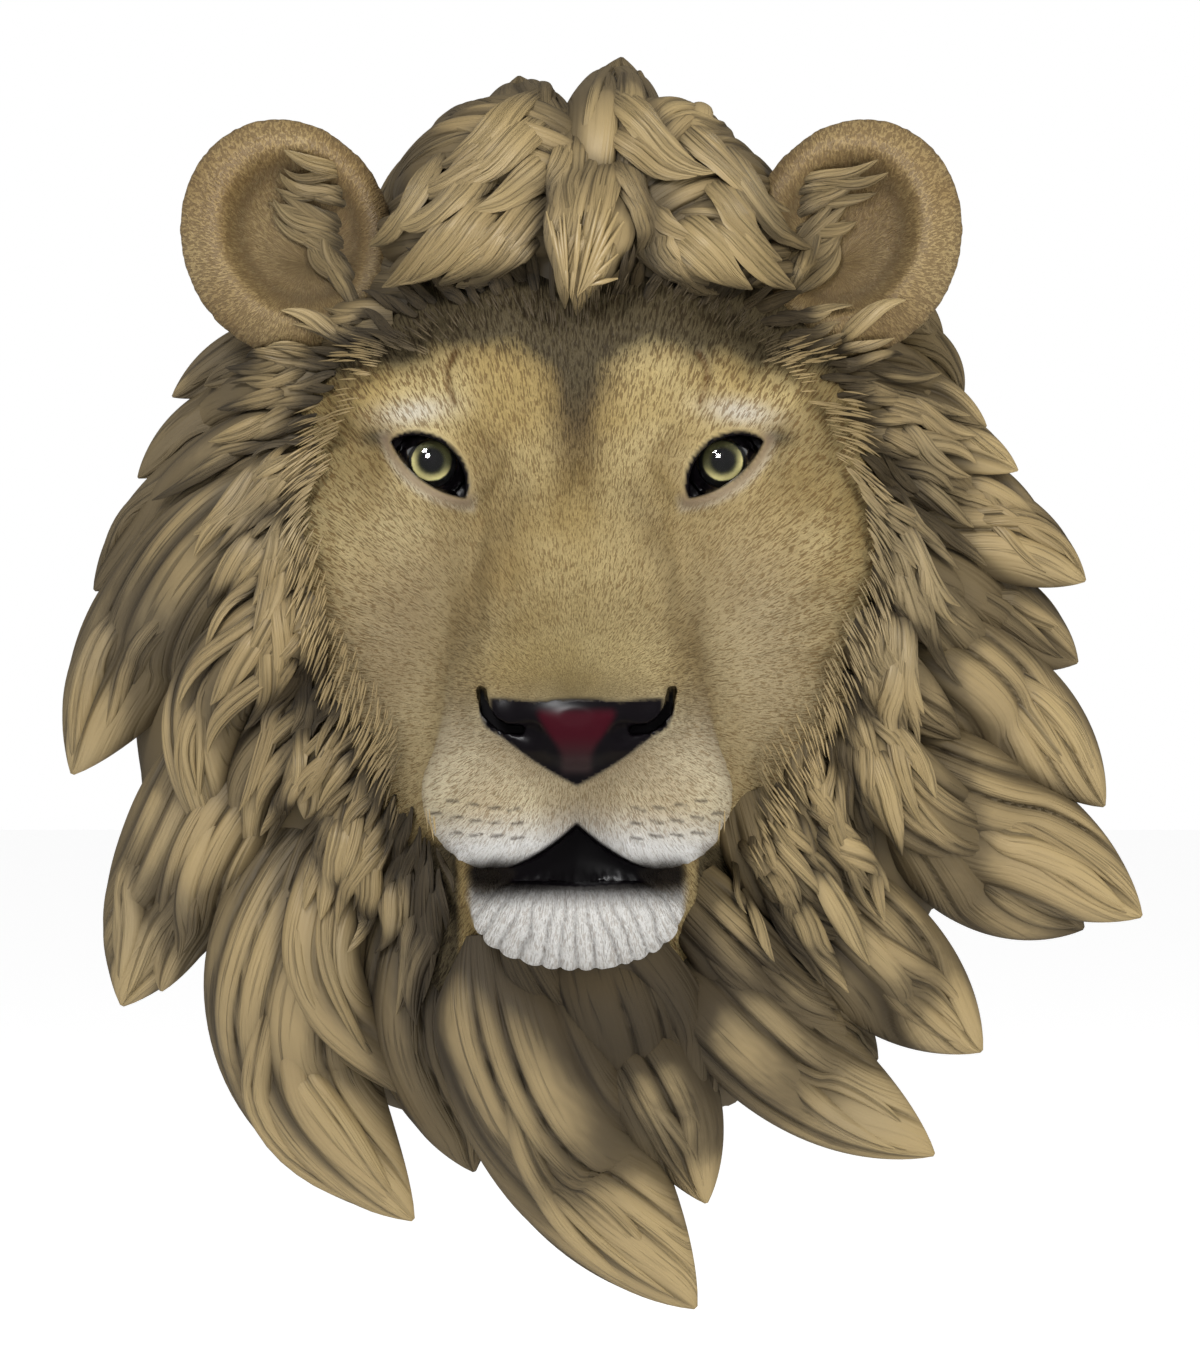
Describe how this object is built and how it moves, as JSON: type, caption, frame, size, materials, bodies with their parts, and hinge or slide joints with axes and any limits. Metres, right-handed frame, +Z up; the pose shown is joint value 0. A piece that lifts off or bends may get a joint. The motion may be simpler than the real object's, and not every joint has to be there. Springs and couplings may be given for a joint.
{
  "type": "lion head wall mask",
  "caption": "Lion's head mask with a full mane of swept locks, glass eyes and a flat back, hung on a wall from a recess behind.",
  "frame": {"origin": "on the flat back, level with the base of the nose, where the back rests on the wall", "axes": "+Z up, -Y out from the wall towards the viewer, +X to the right as seen from the front"},
  "size_m": [0.345, 0.1616, 0.4],
  "materials": {
    "painted_resin": "hand-painted cast resin with a satin varnish, ochre and tan with olive-brown washed into the carving",
    "eye_glass": "clear polished glass over a yellow-green iris and a black pupil"
  },
  "bodies": {
    "root": {"lion_head_casting": "painted_resin", "glass_eye_left": "eye_glass", "glass_eye_right": "eye_glass"}
  },
  "joints": []
}
